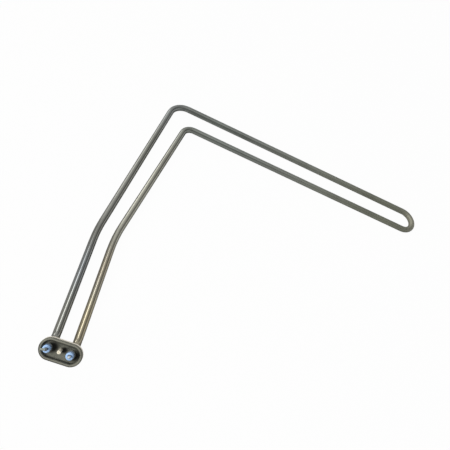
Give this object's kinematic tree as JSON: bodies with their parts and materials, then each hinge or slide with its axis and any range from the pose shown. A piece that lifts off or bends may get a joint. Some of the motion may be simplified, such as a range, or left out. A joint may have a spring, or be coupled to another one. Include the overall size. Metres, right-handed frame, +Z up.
{
  "type": "dishwasher heating element",
  "caption": "Hairpin of sheathed tube bent to an L, lying flat, with its ends turned up into an obround cupped flange that carries two insulated terminals and an earth stud.",
  "frame": {"origin": "midway between the tube's two ends, in the plane of the flange's seat", "axes": "+X along the arm towards its far bend, +Y from the flange along the legs to the elbows, +Z up from the plane that the tube lies on"},
  "size_m": [0.385, 0.3831, 0.0446],
  "materials": {
    "sheath": "drawn steel tube, dulled and heat tinted",
    "flange": "pressed steel, dull olive grey",
    "insulator": "smooth, soft sheen",
    "tab": "tinned, pale",
    "pin": "dull",
    "stud": "pale, bright end",
    "braze": "as flowed",
    "powder": "packed powder",
    "resistance_wire": "plain",
    "resin": "cured resin"
  },
  "bodies": {
    "root": {"sheath_tube": "sheath", "magnesia_fill": "powder", "heating_coil": "resistance_wire", "left_cold_pin": "pin", "right_cold_pin": "pin", "left_end_seal": "resin", "right_end_seal": "resin", "left_insulator": "insulator", "right_insulator": "insulator", "left_terminal_tab": "tab", "right_terminal_tab": "tab", "flange_plate": "flange", "left_braze_ring": "braze", "right_braze_ring": "braze", "earth_stud": "stud"}
  },
  "joints": []
}
